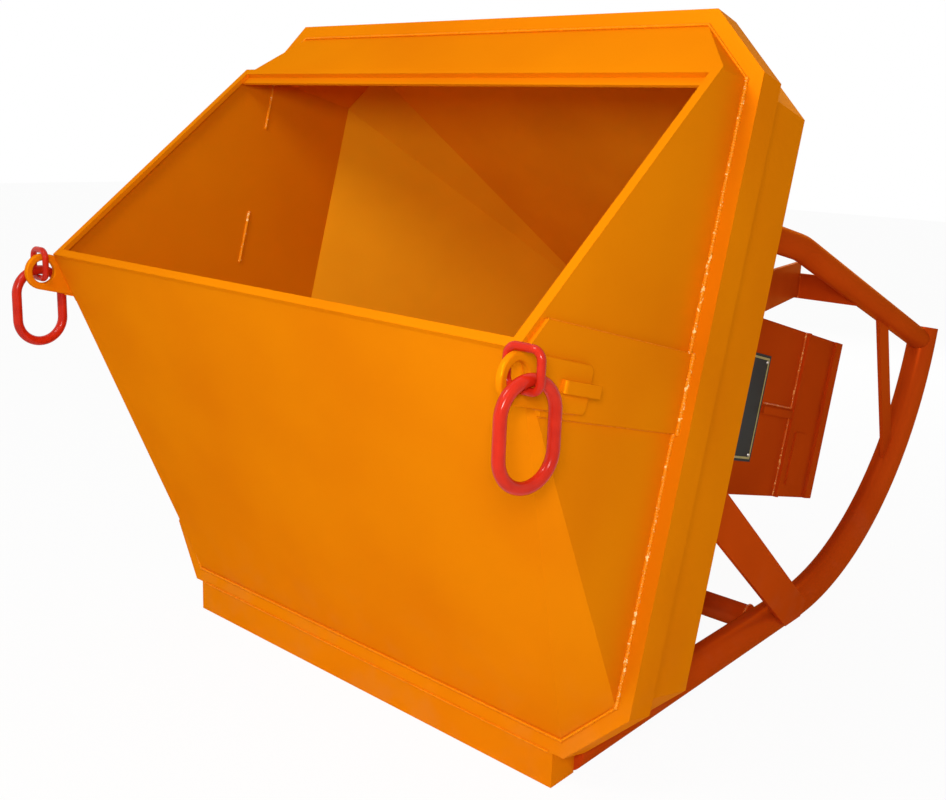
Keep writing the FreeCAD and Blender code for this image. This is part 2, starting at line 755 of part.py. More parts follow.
def make_gate():
    """Two curved jaws, each carried by an upper and a lower geared cheek with its trunnion."""
    half = size("outlet_width") / 2 + size("sheet_wall")
    inside = size("casing_height") / 2 - size("casing_wall")
    thickness = size("cheek_thickness")
    cheek_level = (half + inside - thickness) / 2
    radius = size("trunnion_diameter") / 2
    bearing = inside + size("casing_wall") + size("boss_height")
    for side, sign in SIDES:
        place = TANK * Placement(gate_pivot(sign), Rotation())
        face = cheek_face(sign)
        lever_room = size("lever_thickness") + 2 * size("seat_gap") if sign < 0 else 0
        upper = face.extrude(Vector(0, 0, thickness))
        upper = upper.fuse(Part.makeCylinder(radius, bearing + lever_room - cheek_level))
        upper.translate(Vector(0, 0, cheek_level))
        solid_piece(upper, "jaw_%s_upper_cheek" % side, place)
        lower = face.extrude(Vector(0, 0, -thickness))
        lower = lower.fuse(Part.makeCylinder(radius, bearing - cheek_level, Vector(), Vector(0, 0, -1)))
        lower.translate(Vector(0, 0, -cheek_level))
        solid_piece(lower, "jaw_%s_lower_cheek" % side, place)
        inner, outer = jaw_angles(sign)
        fan = sector(size("jaw_radius") + size("jaw_wall"), min(inner, outer), max(inner, outer))
        over = size("core_overlap_degrees")
        core = sector(size("jaw_radius"), min(inner, outer) - over, max(inner, outer) + over)
        skin = fan.cut(core).extrude(Vector(0, 0, 2 * cheek_level))
        skin.translate(Vector(0, 0, -cheek_level))
        solid_piece(skin, "jaw_%s_plate" % side, place)


GRIP_ROUND_SHARE = 0.4


def make_lever():
    """The hand lever on the left jaw's upper trunnion, with its round grip."""
    pivot = gate_pivot(-1)
    base = size("casing_height") / 2 + size("boss_height") + size("seat_gap")
    thick, width, length = size("lever_thickness"), size("lever_width"), size("lever_length")
    blade = length - size("grip_length")
    bar = box_between(Vector(0, -width / 2, 0), Vector(blade, width / 2, thick))
    arm = bar.fuse(Part.makeCylinder(size("hub_radius"), thick)).removeSplitter()
    arm = arm.cut(Part.makeCylinder(size("trunnion_diameter") / 2, thick))
    turn = Rotation(Vector(0, 0, 1), size("lever_degrees"))
    place = TANK * Placement(Vector(pivot.x, pivot.y, pivot.z + base), turn)
    solid_piece(arm.Solids[0], "lever_arm", place)
    grip = Part.makeCylinder(size("grip_diameter") / 2, size("grip_length"), Vector(blade, 0, thick / 2),
                             Vector(1, 0, 0))
    ends = [edge for edge in grip.Edges
            if edge.CenterOfMass.x > blade + size("grip_length") / 2 and edge.isClosed()]
    solid_piece(grip.makeFillet(size("grip_diameter") / 2 * GRIP_ROUND_SHARE, ends), "lever_grip", place)


# Rails and the frame behind the tank


def tube(path, diameter, wall, inner_path=None):
    """A round tube along a chain of lines and arcs, and its outer form as a solid."""
    outer = round_bar(path, diameter)
    return outer.cut(round_bar(inner_path or path, diameter - 2 * wall)), outer


def rail_path(across, start):
    """A rail's centre line: straight along the ground, then bent up."""
    level = size("rail_diameter") / 2
    radius = size("rail_bend_radius")
    bend = size("rail_bend_start")
    turn = math.radians(size("rail_bend_degrees"))

    def on_bend(angle):
        return Vector(across, bend + radius * math.sin(angle), level + radius * (1 - math.cos(angle)))

    straight = Part.LineSegment(Vector(across, start, level), Vector(across, bend, level))
    return [straight, Part.Arc(on_bend(0), on_bend(turn / 2), on_bend(turn))]


def rail_half():
    """Half the distance between the rails' planes: they stand in from the flange's sides."""
    return size("flange_width") / 2 - size("rail_inset")


def make_rail(side, sign, envelope):
    """One rail, coped round the tank's lower corner, with its end cap."""
    across = sign * rail_half()
    start = size("sill_depth") / 2
    closed = rail_path(across, start + size("rail_closure"))
    hollow, full = tube(rail_path(across, start), size("rail_diameter"), size("rail_wall"), closed)
    coped(hollow, envelope, "rail_" + side, UPRIGHT)
    turn = math.radians(size("rail_bend_degrees"))
    radius = size("rail_bend_radius")
    end = Vector(across, size("rail_bend_start") + radius * math.sin(turn),
                 size("rail_diameter") / 2 + radius * (1 - math.cos(turn)))
    cap = Part.makeCylinder(size("rail_diameter") / 2, size("rail_cap_thickness"), end,
                            Vector(0, math.cos(turn), math.sin(turn)))
    return full, cap


def top_tube_path(across):
    """A top tube's centre line: two straight runs joined by an arc, ending inside the rail."""
    slope = math.radians(size("top_tube_slope_degrees"))
    front = Vector(across, size("top_tube_front"), size("top_tube_front_level"))
    corner = Vector(across, size("top_tube_bend"), size("top_tube_bend_level"))
    rear_direction = Vector(0, math.cos(slope), -math.sin(slope))
    front_direction = (corner - front).normalize()
    turn = front_direction.getAngle(rear_direction)
    radius = size("top_tube_bend_radius")
    trim = radius * math.tan(turn / 2)
    centre = Vector(across, size("rail_bend_start"), size("rail_diameter") / 2 + size("rail_bend_radius"))
    offset = corner - centre
    along = -offset.dot(rear_direction)
    square = offset.dot(offset) - size("rail_bend_radius") ** 2
    run = along + math.sqrt(along ** 2 - square)
    begin = corner - front_direction * trim
    finish = corner + rear_direction * trim
    inwards = (rear_direction - front_direction).normalize()
    middle = corner + inwards * (radius / math.cos(turn / 2) - radius)
    return [Part.LineSegment(front, begin), Part.Arc(begin, middle, finish),
            Part.LineSegment(finish, corner + rear_direction * run)]


def flat_bar(start, finish, width, across):
    """A flat bar in a rail's plane between two points, its thickness across."""
    thick = size("bar_thickness")
    direction = (finish - start).normalize()
    up = Vector(1, 0, 0).cross(direction).normalize() * (width / 2)
    corners = [start - up, finish - up, finish + up, start + up]
    corners = [corner + Vector(across - thick / 2, 0, 0) for corner in corners]
    return Part.Face(Part.makePolygon(corners + corners[:1])).extrude(Vector(thick, 0, 0))


def make_frame(envelope):
    """Rails, top tubes and the bars between them."""
    rail_fulls, caps, tube_fulls = [], [], []
    for side, sign in SIDES:
        full, cap = make_rail(side, sign, envelope)
        rail_fulls.append(full)
        caps.append(cap)
        solid_piece(cap, "rail_cap_" + side)
    for (side, sign), rail, cap in zip(SIDES, rail_fulls, caps):
        across = sign * rail_half()
        hollow, full = tube(top_tube_path(across), size("top_tube_diameter"), size("top_tube_wall"))
        tube_fulls.append(full)
        coped(hollow, envelope.fuse(rail).fuse(cap), "top_tube_" + side, UPRIGHT)
        solids = envelope.fuse([rail, full])
        upright = flat_bar(Vector(0, size("upright_top"), size("upright_top_level")),
                           Vector(0, size("upright_foot"), size("upright_foot_level")),
                           size("upright_width"), across)
        coped(upright, solids, "upright_" + side, UPRIGHT)
        beside = size("rail_diameter") / 2 + size("bar_thickness") / 2 - size("stay_bite")
        stay = flat_bar(Vector(0, size("stay_top"), size("stay_top_level")),
                        Vector(0, size("stay_foot"), size("stay_foot_level")), size("stay_width"),
                        across + sign * beside)
        bounds = stay.BoundBox
        under = box_between(Vector(bounds.XMin, bounds.YMin, bounds.ZMin - size("bar_thickness")),
                            Vector(bounds.XMax, bounds.YMax, size("stay_end_level")))
        coped(stay, envelope.fuse([rail, under]), "stay_" + side, UPRIGHT)
        make_diagonal(side, sign, envelope)
    make_cross_bars(envelope, rail_fulls, tube_fulls)


def make_diagonal(side, sign, envelope):
    """The upright flat bar from the funnel's shoulder to the cross bar."""
    thick = size("bar_thickness")
    height = size("diagonal_height")
    rear = Vector(sign * size("diagonal_half_spacing"), size("cross_bar_place") - thick / 2,
                  size("diagonal_rear_level"))
    front = Vector(sign * rail_half(), size("diagonal_front"), size("diagonal_front_level"))
    level = Vector(rear.x - front.x, rear.y - front.y, 0).normalize()
    sideways = level.cross(Vector(0, 0, 1)) * thick / 2
    up = Vector(0, 0, height / 2)
    corners = [front - up, rear - up, rear + up, front + up]
    corners = [corner - sideways for corner in corners]
    plate = Part.Face(Part.makePolygon(corners + corners[:1])).extrude(sideways * 2)
    half = 2 * rail_half()
    behind = box_between(Vector(-half, rear.y, 0), Vector(half, rear.y + height, 2 * rear.z))
    coped(plate, envelope.fuse(behind), "diagonal_" + side, UPRIGHT)


def make_cross_bars(envelope, rails, tubes):
    """The flat bar between the top tubes and the round tube between the rails."""
    half = rail_half()
    thick, height = size("bar_thickness"), size("cross_bar_height")
    place, level = size("cross_bar_place"), size("cross_bar_level")
    bar = box_between(Vector(-half, place - thick / 2, level - height / 2),
                      Vector(half, place + thick / 2, level + height / 2))
    coped(bar, tubes[0].fuse(tubes[1]), "cross_bar", UPRIGHT)
    start = Vector(-half, size("foot_tube_place"), size("rail_diameter") / 2)
    direction = Vector(1, 0, 0)
    radius = size("foot_tube_diameter") / 2
    outer = Part.makeCylinder(radius, 2 * half, start, direction)
    inner = Part.makeCylinder(radius - size("foot_tube_wall"), 2 * half, start, direction)
    coped(outer.cut(inner), rails[0].fuse(rails[1]), "foot_tube", UPRIGHT)


make_flange()
make_sill()
make_mouth()
make_rim()
make_tank()
for side_name, side_sign in SIDES:
    make_strap(side_name, side_sign)
    make_lug(side_name, side_sign)
make_outlet()
coping = in_row(tank_envelope(size("seat_gap")), TANK)
make_casing(coping)
make_gate()
make_lever()
make_frame(coping)
doc.recompute()

for item in doc.Objects:
    if "Invalid" in item.State or "Error" in item.State:
        raise RuntimeError("%s did not compute: %s" % (item.Label, item.State))
for item in pieces:
    if item.Shape.isNull() or not item.Shape.isValid() or len(item.Shape.Solids) != 1:
        raise RuntimeError("%s isn't one valid solid" % item.Label)

os.makedirs("parts", exist_ok=True)
for item in pieces:
    item.Shape.exportStep("parts/%s.step" % item.Label)
print("%d pieces written" % len(pieces))
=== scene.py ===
import json
import logging
import math
import random
from dataclasses import dataclass
from enum import Enum
from typing import Iterable

import bmesh
import bpy
from mathutils import Matrix, Quaternion, Vector


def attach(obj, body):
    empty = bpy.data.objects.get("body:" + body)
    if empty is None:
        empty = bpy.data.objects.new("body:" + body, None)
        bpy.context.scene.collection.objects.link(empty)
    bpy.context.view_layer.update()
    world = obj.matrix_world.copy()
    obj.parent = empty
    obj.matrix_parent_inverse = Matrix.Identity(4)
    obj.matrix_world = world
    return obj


logger = logging.getLogger("silo_scene")

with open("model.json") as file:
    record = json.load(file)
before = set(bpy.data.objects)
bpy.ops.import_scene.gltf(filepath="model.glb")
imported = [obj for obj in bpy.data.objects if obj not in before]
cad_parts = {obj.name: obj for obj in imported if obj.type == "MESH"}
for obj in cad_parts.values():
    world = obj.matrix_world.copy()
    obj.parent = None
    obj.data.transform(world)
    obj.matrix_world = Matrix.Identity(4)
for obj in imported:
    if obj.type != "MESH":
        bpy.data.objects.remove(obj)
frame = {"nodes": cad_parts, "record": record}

Colour = tuple[float, float, float]
Point = tuple[float, float, float]
Span = tuple[float, float]
MM = 0.001
BODY = "silo"
SIDES = (("left", -1), ("right", 1))
X_AXIS = Vector((1.0, 0.0, 0.0))
Z_AXIS = Vector((0.0, 0.0, 1.0))


class Slot(str, Enum):
    """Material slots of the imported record."""

    TANK = "tank_orange"
    RING = "ring_red"
    GATE = "gate_steel"
    GRIP = "grip_rubber"


@dataclass(frozen=True)
class Finish:
    """How one painted, metal or rubber surface looks.

    Attributes:
        name: The material's name.
        base: Linear base colour.
        shade: Linear colour of the patches; on the weld finishes these pale patches are painted glints.
        roughness: Mean roughness.
        metallic: 1 for bare metal, a small share for glossy paint, else 0.
        coat: Weight of the clear top coat.
        patch_scale: Size of the tone patches, in patches per metre.
        patch_range: Noise values at which the patches begin and are full.
        grain_scale: Size of the fine grain, in grains per metre.
        grain_depth: Height of the grain in metres.
        dust: How much pale dust lies near the ground, from 0 to 1.
        shine: Level of the surface's own reflection, 0.5 for common plastics and paints.
        shine_tint: Colour of that reflection.
        rear_colour_without_painted_light: Colour of the faces that look backwards, where it differs; the
            forward faces' lighter base colour is painted light.
    """

    name: str
    base: Colour
    shade: Colour
    roughness: float
    metallic: float = 0.0
    coat: float = 0.0
    patch_scale: float = 3.0
    patch_range: Span = (0.25, 0.80)
    grain_scale: float = 260.0
    grain_depth: float = 0.00006
    dust: float = 0.0
    shine: float = 0.5
    shine_tint: Colour = (1.0, 1.0, 1.0)
    rear_colour_without_painted_light: Colour | None = None


PAINT_SHINE = 0.0
PAINT_TINT = (1.0, 0.62, 0.12)
PAINT_LUSTRE = 0.14
# Narrow noise span that turns the welds' pale patches into painted glints.
PAINTED_GLINT_SPAN = (0.60, 0.65)

TANK_FINISH = Finish(
    "tank paint", (0.80, 0.232, 0.002), (0.74, 0.196, 0.002), 0.34, PAINT_LUSTRE,
    dust=0.05, shine=PAINT_SHINE, shine_tint=PAINT_TINT)
# Painted light: the funnel's forward faces take a lighter colour than the tank paint, standing in for light
# where they lie in the tank's shade; its backward faces keep a darker colour.
FUNNEL_PAINTED_LIGHT_FINISH = Finish(
    "funnel with painted light", (0.88, 0.350, 0.008), (0.82, 0.310, 0.007), 0.40, PAINT_LUSTRE,
    patch_scale=5.0, shine=PAINT_SHINE, shine_tint=PAINT_TINT, rear_colour_without_painted_light=(0.78, 0.220, 0.002))
# Painted shade: the frame, casing and lever take a darker, redder copy of the tank paint, standing in for
# the lamp's fall-off behind the tank.
FRAME_PAINTED_SHADE_FINISH = Finish(
    "frame with painted shade", (0.60, 0.070, 0.005), (0.52, 0.056, 0.004), 0.32, PAINT_LUSTRE,
    dust=0.05, shine=PAINT_SHINE, shine_tint=PAINT_TINT)
BEAD_FINISH = Finish(
    "plain bead", (0.84, 0.255, 0.003), (0.76, 0.210, 0.002), 0.30, PAINT_LUSTRE,
    patch_scale=60.0, shine=0.1, shine_tint=PAINT_TINT)
# Painted highlight: the weld is lighter and yellower than the tank paint along the bead, and its pale
# patches are painted glints.
WELD_FINISH = Finish(
    "weld with painted glints", (0.88, 0.280, 0.004), (1.0, 0.74, 0.30), 0.20, coat=0.4,
    patch_scale=110.0, patch_range=PAINTED_GLINT_SPAN, grain_scale=900.0, shine=0.2, shine_tint=PAINT_TINT)
# Painted shade and glints: the frame weld is a darker, redder copy of the flange weld, like the frame paint,
# and its pale patches are painted glints.
FRAME_WELD_FINISH = Finish(
    "frame weld with painted shade and glints", (0.68, 0.115, 0.006), (0.92, 0.46, 0.12), 0.20, coat=0.4,
    patch_scale=110.0, patch_range=PAINTED_GLINT_SPAN, grain_scale=900.0, shine=0.2, shine_tint=PAINT_TINT)
RING_FINISH = Finish(
    "ring paint", (0.58, 0.022, 0.006), (0.46, 0.013, 0.004), 0.22, coat=0.12,
    patch_scale=30.0, shine=0.10)
STEEL_FINISH = Finish(
    "gate steel", (0.30, 0.288, 0.272), (0.25, 0.235, 0.215), 0.40, metallic=1.0,
    patch_scale=8.0, grain_scale=700.0)
GRIP_FINISH = Finish(
    "grip sleeve", (0.018, 0.018, 0.019), (0.028, 0.027, 0.026), 0.62,
    grain_scale=500.0, grain_depth=0.0002)
PLATE_FINISH = Finish(
    "dark plate", (0.007, 0.009, 0.004), (0.014, 0.015, 0.006), 0.34,
    patch_scale=12.0, shine=0.1)
BORDER_FINISH = Finish(
    "pale border", (0.52, 0.44, 0.14), (0.40, 0.33, 0.09), 0.34,
    patch_scale=20.0, shine=0.2)
BOLT_FINISH = Finish(
    "zinc bolt", (0.62, 0.60, 0.56), (0.44, 0.42, 0.38), 0.30, metallic=1.0,
    patch_scale=90.0)

SLOT_FINISHES = {
    Slot.TANK: TANK_FINISH,
    Slot.RING: RING_FINISH,
    Slot.GATE: STEEL_FINISH,
    Slot.GRIP: GRIP_FINISH,
}
FRAME_NODES = ("rail", "top_tube", "upright", "stay", "diagonal", "cross_bar", "foot_tube", "casing",
               "lever_arm")
FUNNEL_NODES = ("funnel", "outlet_neck")


@dataclass(frozen=True)
class Wear:
    """Numbers that the finishes share.

    Attributes:
        patch_detail: Octaves of the patches' noise.
        patch_roughness: Roughness that the patches add, from none to full.
        dust_height: Height in metres that the dust reaches.
        dust_colour: The dust's linear colour.
        dust_scale: Dust patches per metre.
        dust_detail: Octaves of the dust's noise.
        dust_range: Noise values at which the dust begins and is full.
        dust_roughness: Roughness that full dust adds.
        scuff_scale: Scuffs per metre.
        scuff_detail: Octaves of the scuffs' noise.
        scuff_range: Noise values at which a scuff begins and is full.
        scuff_roughness: Roughness that a scuff adds.
        wave_share: Scale of the long waves as a share of the grain's.
        wave_weight: Height of the long waves against the grain's.
        grain_detail: Octaves of the grain's noise.
        bump_strength: Strength of the grain and waves.
        coat_roughness: Roughness of the clear coat.
        painted_light_facing_span: Rearward parts of a face's normal at which the darker rear colour begins
            and is full, leaving the lighter painted light on forward faces.
    """

    patch_detail: float = 2.0
    patch_roughness: float = 0.08
    dust_height: float = 0.32
    dust_colour: Colour = (0.42, 0.33, 0.24)
    dust_scale: float = 14.0
    dust_detail: float = 4.0
    dust_range: Span = (0.42, 0.78)
    dust_roughness: float = 0.5
    scuff_scale: float = 75.0
    scuff_detail: float = 3.0
    scuff_range: Span = (0.70, 0.80)
    scuff_roughness: float = 0.10
    wave_share: float = 0.16
    wave_weight: float = 2.5
    grain_detail: float = 1.0
    bump_strength: float = 0.6
    coat_roughness: float = 0.12
    painted_light_facing_span: Span = (-0.05, 0.05)


WEAR = Wear()


class Signal:
    """A number flowing through a node tree, combined with Python's own operators."""

    def __init__(self, graph: "Graph", socket: bpy.types.NodeSocket) -> None:
        """Wraps an output socket.

        Args:
            graph: The graph the socket is in.
            socket: The output that carries the number.
        """
        self.graph = graph
        self.socket = socket

    def _math(self, operation: str, other: "Signal | float") -> "Signal":
        """Adds a Math node.

        Args:
            operation: Blender's name of the operation.
            other: The second operand.

        Returns:
            The node's result.
        """
        node = self.graph.node("ShaderNodeMath", {"operation": operation}, {0: self, 1: other})
        return Signal(self.graph, node.outputs[0])

    def __add__(self, other: "Signal | float") -> "Signal":
        """The sum."""
        return self._math("ADD", other)

    __radd__ = __add__

    def __mul__(self, other: "Signal | float") -> "Signal":
        """The product."""
        return self._math("MULTIPLY", other)

    __rmul__ = __mul__

    def __rsub__(self, other: float) -> "Signal":
        """A plain number less this one."""
        return self * -1.0 + other

    def maximum(self, other: "Signal") -> "Signal":
        """The larger of this number and another."""
        return self._math("MAXIMUM", other)

    def between(self, low: float, high: float) -> "Signal":
        """Maps low to 0 and high to 1 along a smooth step.

        Args:
            low: The value that becomes 0.
            high: The value that becomes 1.

        Returns:
            The mapped number.
        """
        node = self.graph.node("ShaderNodeMapRange", {"interpolation_type": "SMOOTHSTEP"},
                               {"Value": self, "From Min": low, "From Max": high})
        return Signal(self.graph, node.outputs["Result"])


class Graph:
    """The node tree of one material or world."""

    def __init__(self, tree: bpy.types.NodeTree) -> None:
        """Keeps the tree."""
        self.tree = tree

    def node(self, kind: str, settings: dict[str, str] | None = None,
             sockets: dict[str | int, object] | None = None) -> bpy.types.Node:
        """Adds a node, then sets its settings, then its sockets.

        Args:
            kind: The node's type.
            settings: Values of the node's own properties.
            sockets: A value or a link for each input that is used.

        Returns:
            The node.
        """
        node = self.tree.nodes.new(kind)
        for name, value in (settings or {}).items():
            setattr(node, name, value)
        self.feed(node, sockets or {})
        return node

    def feed(self, node: bpy.types.Node, sockets: dict[str | int, object]) -> None:
        """Sets inputs of a node.

        Args:
            node: The node.
            sockets: A value or a link for each input.
        """
        for name, value in sockets.items():
            self.fill(node.inputs[name], value)

    def fill(self, target: bpy.types.NodeSocket, value: object) -> None:
        """Sets one input.

        Args:
            target: The input.
            value: A signal, an output to link, three numbers for an opaque colour, or a plain value.
        """
        if isinstance(value, Signal):
            self.tree.links.new(value.socket, target)
        elif isinstance(value, bpy.types.NodeSocket):
            self.tree.links.new(value, target)
        elif isinstance(value, tuple):
            target.default_value = (*value, 1.0)
        else:
            target.default_value = value

    def blend(self, share: Signal, first: bpy.types.NodeSocket | Colour,
              second: Colour) -> bpy.types.NodeSocket:
        """Mixes two colours.

        Args:
            share: 0 for the first colour, 1 for the second.
            first: A colour or the output that carries one.
            second: A colour.

        Returns:
            The mixed colour's output.
        """
        node = self.node("ShaderNodeMix", {"data_type": "RGBA"})
        live = {one.name: one for one in node.inputs if one.enabled}
        for name, value in (("Factor", share), ("A", first), ("B", second)):
            self.fill(live[name], value)
        return next(one for one in node.outputs if one.enabled)

    def seen_directly(self) -> Signal:
        """1 for rays from the camera, mirrors and glass, else 0."""
        path = self.node("ShaderNodeLightPath")
        seen = Signal(self, path.outputs["Is Camera Ray"])
        for name in ("Is Glossy Ray", "Is Transmission Ray"):
            seen = seen.maximum(Signal(self, path.outputs[name]))
        return seen


class Paint(Graph):
    """Builds one procedural material from a finish."""

    def __init__(self, finish: Finish, wear: Wear = WEAR) -> None:
        """Makes the material and its nodes.

        Args:
            finish: What the surface looks like.
            wear: The numbers it shares with the other finishes.
        """
        self.finish = finish
        self.wear = wear
        self.material = bpy.data.materials.new(finish.name)
        self.material.use_nodes = True
        super().__init__(self.material.node_tree)
        self.place = self.node("ShaderNodeTexCoord").outputs["Object"]
        self._build()

    def noise(self, scale: float, detail: float) -> Signal:
        """A noise fixed to the object.

        Args:
            scale: Patches per metre.
            detail: Octaves of finer noise.

        Returns:
            The noise, about 0 to 1.
        """
        node = self.node("ShaderNodeTexNoise", None,
                         {"Vector": self.place, "Scale": scale, "Detail": detail})
        return Signal(self, node.outputs["Fac"])

    def height(self) -> Signal:
        """The point's height above the ground, in metres."""
        return Signal(self, self.node("ShaderNodeSeparateXYZ", None, {0: self.place}).outputs["Z"])

    def painted_light_facing_mask(self) -> Signal:
        """1 on faces that look backwards, else 0: the mask of the painted light, whose lighter colour stays
        on forward faces.
        """
        normal = self.node("ShaderNodeTexCoord").outputs["Normal"]
        across = self.node("ShaderNodeSeparateXYZ", None, {0: normal}).outputs["Y"]
        return Signal(self, across).between(*self.wear.painted_light_facing_span)

    def dust(self) -> Signal:
        """How much dust lies at a point, thinning out with its height."""
        wear = self.wear
        low = 1.0 - self.height().between(0.0, wear.dust_height)
        specks = self.noise(wear.dust_scale, wear.dust_detail).between(*wear.dust_range)
        return low * specks * self.finish.dust

    def bump(self) -> bpy.types.NodeSocket:
        """The normal with the fine grain and the long waves of the paint."""
        finish, wear = self.finish, self.wear
        waves = self.noise(finish.grain_scale * wear.wave_share, wear.grain_detail) * wear.wave_weight
        ripple = self.noise(finish.grain_scale, wear.grain_detail) + waves
        node = self.node("ShaderNodeBump", None,
                         {"Distance": finish.grain_depth, "Strength": wear.bump_strength, "Height": ripple})
        return node.outputs["Normal"]

    def _build(self) -> None:
        """Links tone and painted glints, the painted light split by facing, dust, gloss and grain into the
        shader.
        """
        finish, wear = self.finish, self.wear
        # The patches vary the tone at random; on the weld finishes the pale patches are painted glints.
        patches = self.noise(finish.patch_scale, wear.patch_detail).between(*finish.patch_range)
        colour = self.blend(patches, finish.base, finish.shade)
        # Painted light: forward faces keep the lighter base colour, backward faces take the darker rear
        # colour.
        if finish.rear_colour_without_painted_light:
            colour = self.blend(self.painted_light_facing_mask(), colour, finish.rear_colour_without_painted_light)
        rough = patches * wear.patch_roughness + (finish.roughness - wear.patch_roughness / 2)
        if finish.dust:
            dust = self.dust()
            colour = self.blend(dust, colour, wear.dust_colour)
            rough = rough + dust * wear.dust_roughness
        scuffs = self.noise(wear.scuff_scale, wear.scuff_detail).between(*wear.scuff_range)
        rough = rough + scuffs * wear.scuff_roughness
        self.feed(self.tree.nodes["Principled BSDF"], {
            "Base Color": colour, "Roughness": rough, "Metallic": finish.metallic,
            "Specular IOR Level": finish.shine, "Specular Tint": finish.shine_tint,
            "Coat Weight": finish.coat, "Coat Roughness": wear.coat_roughness, "Normal": self.bump()})


class PaintShop:
    """Hands out each finish's material, made once."""

    def __init__(self) -> None:
        """Starts with no materials."""
        self._made: dict[str, bpy.types.Material] = {}

    def material(self, finish: Finish) -> bpy.types.Material:
        """The material of a finish.

        Args:
            finish: The finish wanted.

        Returns:
            Its material.
        """
        if finish.name not in self._made:
            self._made[finish.name] = Paint(finish).material
        return self._made[finish.name]

    def dress_node(self, name: str, item: bpy.types.Object) -> None:
        """Gives a CAD node its material.

        Args:
            name: The node's name.
            item: The node's object.
        """
        finish = SLOT_FINISHES[node_slot(name)]
        # Frame parts take a darker copy of the tank paint as painted shade; funnel parts take a lighter
        # colour as painted light.
        if finish is TANK_FINISH:
            if name.startswith(FRAME_NODES):
                finish = FRAME_PAINTED_SHADE_FINISH
            elif name.startswith(FUNNEL_NODES):
                finish = FUNNEL_PAINTED_LIGHT_FINISH
        for slot in item.material_slots:
            slot.material = self.material(finish)


def node_slot(name: str) -> Slot:
    """The record's slot of a node.

    Args:
        name: The node's name.

    Returns:
        Its material slot.
    """
    entry = next(part for part in frame["record"]["subparts"] if part["node"] == name)
    return Slot(entry["material_slot"])


@dataclass(frozen=True)
class TankFrame:
    """The leaning frame of the tank: X across, A along the flow, N up the flange, in millimetres.

    Attributes:
        lean: How far the flange leans back, in radians.
        foot_y: Where the flange's lower front edge is along the row's Y.
        foot_z: The height of that edge.
    """

    lean: float = math.radians(14.4)
    foot_y: float = -35.0
    foot_z: float = 70.0

    def point(self, across: float, along: float, up: float) -> Vector:
        """A point in metres in the row's frame.

        Args:
            across: Millimetres to the right.
            along: Millimetres along the flow from the flange's front face.
            up: Millimetres up the flange from its lower edge.

        Returns:
            The point.
        """
        cos, sin = math.cos(self.lean), math.sin(self.lean)
        return Vector((across, self.foot_y + along * cos + up * sin,
                       self.foot_z + up * cos - along * sin)) * MM

    def turn(self) -> Quaternion:
        """The rotation from the tank's frame to the row's."""
        return Quaternion(X_AXIS, -self.lean)


TANK = TankFrame()


class MeshPiece:
    """A named mesh made of bmesh primitives, in the row's frame."""

    BALL_STEPS = 2
    BEVEL_STEPS = 2

    def __init__(self, name: str) -> None:
        """Starts an empty mesh.

        Args:
            name: The object's name.
        """
        self.name = name
        self.bm = bmesh.new()

    def ball(self, centre: Vector, turn: Quaternion, scale: Point) -> None:
        """Adds a stretched ball.

        Args:
            centre: Its middle.
            turn: Its rotation.
            scale: Its half sizes.
        """
        matrix = Matrix.LocRotScale(centre, turn, Vector(scale))
        bmesh.ops.create_icosphere(self.bm, subdivisions=self.BALL_STEPS, radius=1.0, matrix=matrix)

    def block(self, centre: Vector, turn: Quaternion, size: Point, bevel: float = 0.0) -> None:
        """Adds a box, its edges rounded by bevel.

        Args:
            centre: Its middle.
            turn: Its rotation.
            size: Its three sizes.
            bevel: The rounding in metres.
        """
        matrix = Matrix.LocRotScale(centre, turn, Vector(size))
        made = bmesh.ops.create_cube(self.bm, size=1.0, matrix=matrix)
        if bevel:
            edges = list({edge for vert in made["verts"] for edge in vert.link_edges})
            bmesh.ops.bevel(self.bm, geom=edges, offset=bevel, segments=self.BEVEL_STEPS,
                            affect="EDGES", profile=0.5, material=-1)

    def disc(self, centre: Vector, axis: Vector, radius: float, depth: float, sides: int = 32,
             top_share: float = 0.94) -> None:
        """Adds a short cylinder with a slightly narrower top.

        Args:
            centre: Its middle.
            axis: The direction it stands along.
            radius: Its radius at the foot.
            depth: Its height.
            sides: Number of sides.
            top_share: Radius at the top as a share of the foot's.
        """
        turn = Z_AXIS.rotation_difference(axis)
        bmesh.ops.create_cone(self.bm, cap_ends=True, segments=sides, radius1=radius,
                              radius2=radius * top_share, depth=depth,
                              matrix=Matrix.LocRotScale(centre, turn, None))

    def finish(self, material: bpy.types.Material, slot: Slot, body: str = BODY,
               smooth: bool = False) -> bpy.types.Object:
        """Turns the mesh into an object that rides on a body.

        Args:
            material: The object's material.
            slot: The record's slot; not used.
            body: The CAD body it rides on.
            smooth: Whether its faces are shaded smooth.

        Returns:
            The object.
        """
        for face in self.bm.faces:
            face.smooth = smooth
        mesh = bpy.data.meshes.new(self.name)
        self.bm.to_mesh(mesh)
        self.bm.free()
        mesh.materials.append(material)
        item = bpy.data.objects.new(self.name, mesh)
        bpy.context.scene.collection.objects.link(item)
        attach(item, body)
        return item


@dataclass(frozen=True)
class Seam:
    """One weld bead along a chain of points.

    Attributes:
        points: The chain in the row's frame, in metres.
        radius: The bead's half width in metres.
    """

    points: tuple[Vector, ...]
    radius: float


def tank_seam(radius: float, *spots: Point) -> Seam:
    """A seam through points in the tank's frame.

    Args:
        radius: The bead's half width in metres.
        spots: Points in millimetres.

    Returns:
        The seam.
    """
    return Seam(tuple(TANK.point(*spot) for spot in spots), radius)


def ring_points(centre: Vector, axis: Vector, radius: float, count: int) -> tuple[Vector, ...]:
    """A closed circle of points.

    Args:
        centre: The circle's middle.
        axis: Its normal.
        radius: Its radius.
        count: Number of points.

    Returns:
        The points, the first one repeated at the end.
    """
    turn = Z_AXIS.rotation_difference(axis)
    spots = []
    for index in range(count + 1):
        angle = math.tau * index / count
        spots.append(centre + turn @ Vector((radius * math.cos(angle), radius * math.sin(angle), 0.0)))
    return tuple(spots)


